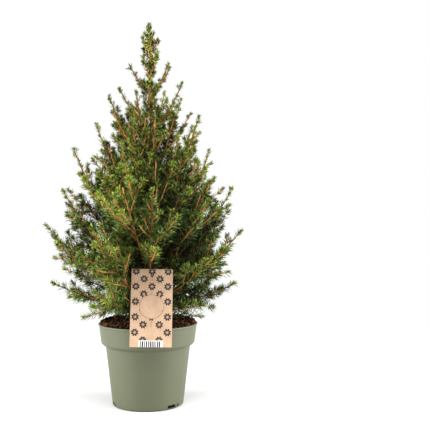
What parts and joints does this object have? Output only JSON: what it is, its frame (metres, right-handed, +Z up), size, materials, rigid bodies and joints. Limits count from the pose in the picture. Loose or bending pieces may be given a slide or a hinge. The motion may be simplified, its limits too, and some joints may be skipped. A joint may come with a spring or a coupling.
{
  "type": "potted dwarf spruce",
  "caption": "Young cone-shaped dwarf spruce in a green plastic nursery pot of peat, with a card label leaning on the pot's rim.",
  "frame": {"origin": "the middle of the pot's flat underside, on the surface it stands on", "axes": "+Z up along the trunk, +X to the right and -Y to the front as pictured"},
  "size_m": [0.3722, 0.3382, 0.7274],
  "materials": {
    "pot_plastic": "moulded green plastic, satin",
    "peat": "moist fibrous peat",
    "bark": "thin scaly grey-brown bark",
    "young_bark": "ridged orange-brown bark",
    "needles": "short waxy green needles",
    "card": "uncoated brown card"
  },
  "bodies": {
    "root": {"pot": "pot_plastic", "soil": "peat", "label_card": "card", "trunk": "bark", "bough_a1": "young_bark", "foliage_a1": "needles", "bough_a2": "young_bark", "foliage_a2": "needles", "bough_a3": "young_bark", "foliage_a3": "needles", "bough_a4": "young_bark", "foliage_a4": "needles", "bough_a5": "young_bark", "foliage_a5": "needles", "bough_b1": "young_bark", "foliage_b1": "needles", "bough_b2": "young_bark", "foliage_b2": "needles", "bough_b3": "young_bark", "foliage_b3": "needles", "bough_b4": "young_bark", "foliage_b4": "needles", "bough_b5": "young_bark", "foliage_b5": "needles", "bough_c1": "young_bark", "foliage_c1": "needles", "bough_c2": "young_bark", "foliage_c2": "needles", "bough_c3": "young_bark", "foliage_c3": "needles", "bough_c4": "young_bark", "foliage_c4": "needles", "bough_front": "young_bark", "foliage_front": "needles", "bough_d1": "young_bark", "foliage_d1": "needles", "bough_d2": "young_bark", "foliage_d2": "needles", "bough_d3": "young_bark", "foliage_d3": "needles", "bough_d4": "young_bark", "foliage_d4": "needles", "foliage_e1": "needles", "foliage_e2": "needles", "foliage_e3": "needles", "foliage_e4": "needles", "foliage_e5": "needles", "foliage_f1": "needles", "foliage_f2": "needles", "foliage_f3": "needles", "foliage_f4": "needles", "foliage_g1": "needles", "foliage_g2": "needles", "foliage_g3": "needles", "foliage_g4": "needles", "foliage_h1": "needles", "foliage_h2": "needles", "foliage_h3": "needles", "foliage_leader": "needles"}
  },
  "joints": []
}
